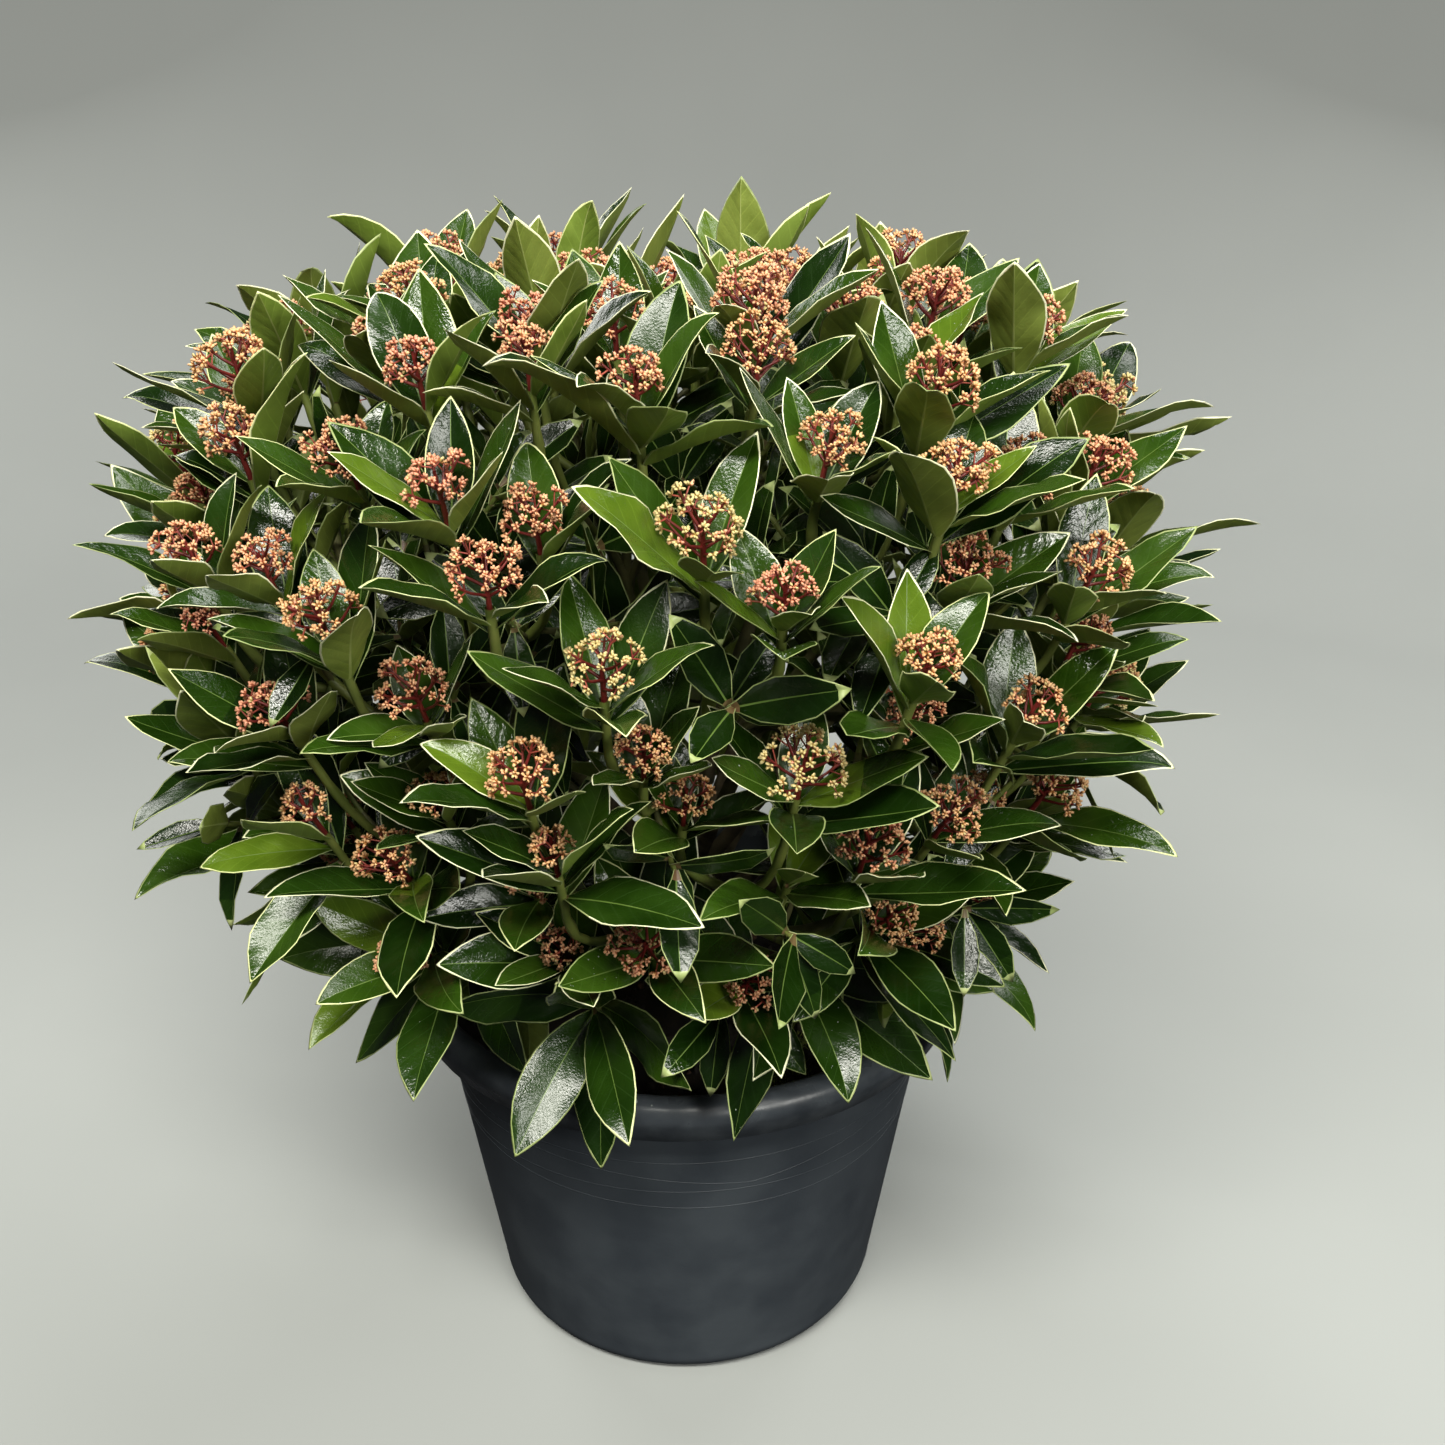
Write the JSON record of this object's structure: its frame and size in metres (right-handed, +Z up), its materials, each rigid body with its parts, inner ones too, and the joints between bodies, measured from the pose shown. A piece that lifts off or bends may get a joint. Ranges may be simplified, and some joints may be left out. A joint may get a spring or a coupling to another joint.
{
  "type": "potted japanese skimmia",
  "caption": "Rounded evergreen shrub with cream-edged leaves and clusters of reddish flower buds, standing in a round dark plastic pot.",
  "frame": {"origin": "middle of the pot's flat underside, which stands on the ground", "axes": "+Z up, -Y towards the front of the plant, +X to its right as seen from the front"},
  "size_m": [0.505, 0.4811, 0.5173],
  "materials": {
    "pot": "matte moulded plastic, dark slate grey, with faint mould lines and a damp sheen on the lip",
    "soil": "damp dark potting soil with a little moss",
    "bark": "olive brown bark, smoother and greener out along the boughs",
    "foliage": "glossy dark green leaves with a thin cream edge",
    "leaf_edge": "cream leaf margin",
    "leaf_underside": "matt olive green underside of a leaf",
    "buds": "closed flower buds, salmon to tan with pale tips",
    "stalks": "dark red flower stalks",
    "twigs": "smooth yellow-green young stems",
    "moss": "yellow-green moss on the soil",
    "water": "clear water drops"
  },
  "bodies": {
    "root": {"pot": "pot", "soil": "soil", "trunk": "bark", "bough_low_1": "bark", "bough_low_2": "bark", "bough_low_3": "bark", "bough_low_4": "bark", "bough_low_5": "bark", "bough_low_6": "bark", "bough_low_7": "bark", "bough_low_8": "bark", "bough_middle_1": "bark", "bough_middle_2": "bark", "bough_middle_3": "bark", "bough_middle_4": "bark", "bough_middle_5": "bark", "bough_middle_6": "bark", "bough_top_1": "bark", "bough_top_2": "bark", "bough_top_3": "bark", "foliage_low_1": "foliage", "foliage_low_2": "foliage", "foliage_low_3": "foliage", "foliage_low_4": "foliage", "foliage_low_5": "foliage", "foliage_low_6": "foliage", "foliage_low_7": "foliage", "foliage_low_8": "foliage", "foliage_middle_1": "foliage", "foliage_middle_2": "foliage", "foliage_middle_3": "foliage", "foliage_middle_4": "foliage", "foliage_middle_5": "foliage", "foliage_middle_6": "foliage", "foliage_top_1": "foliage", "foliage_top_2": "foliage", "foliage_top_3": "foliage"}
  },
  "joints": []
}
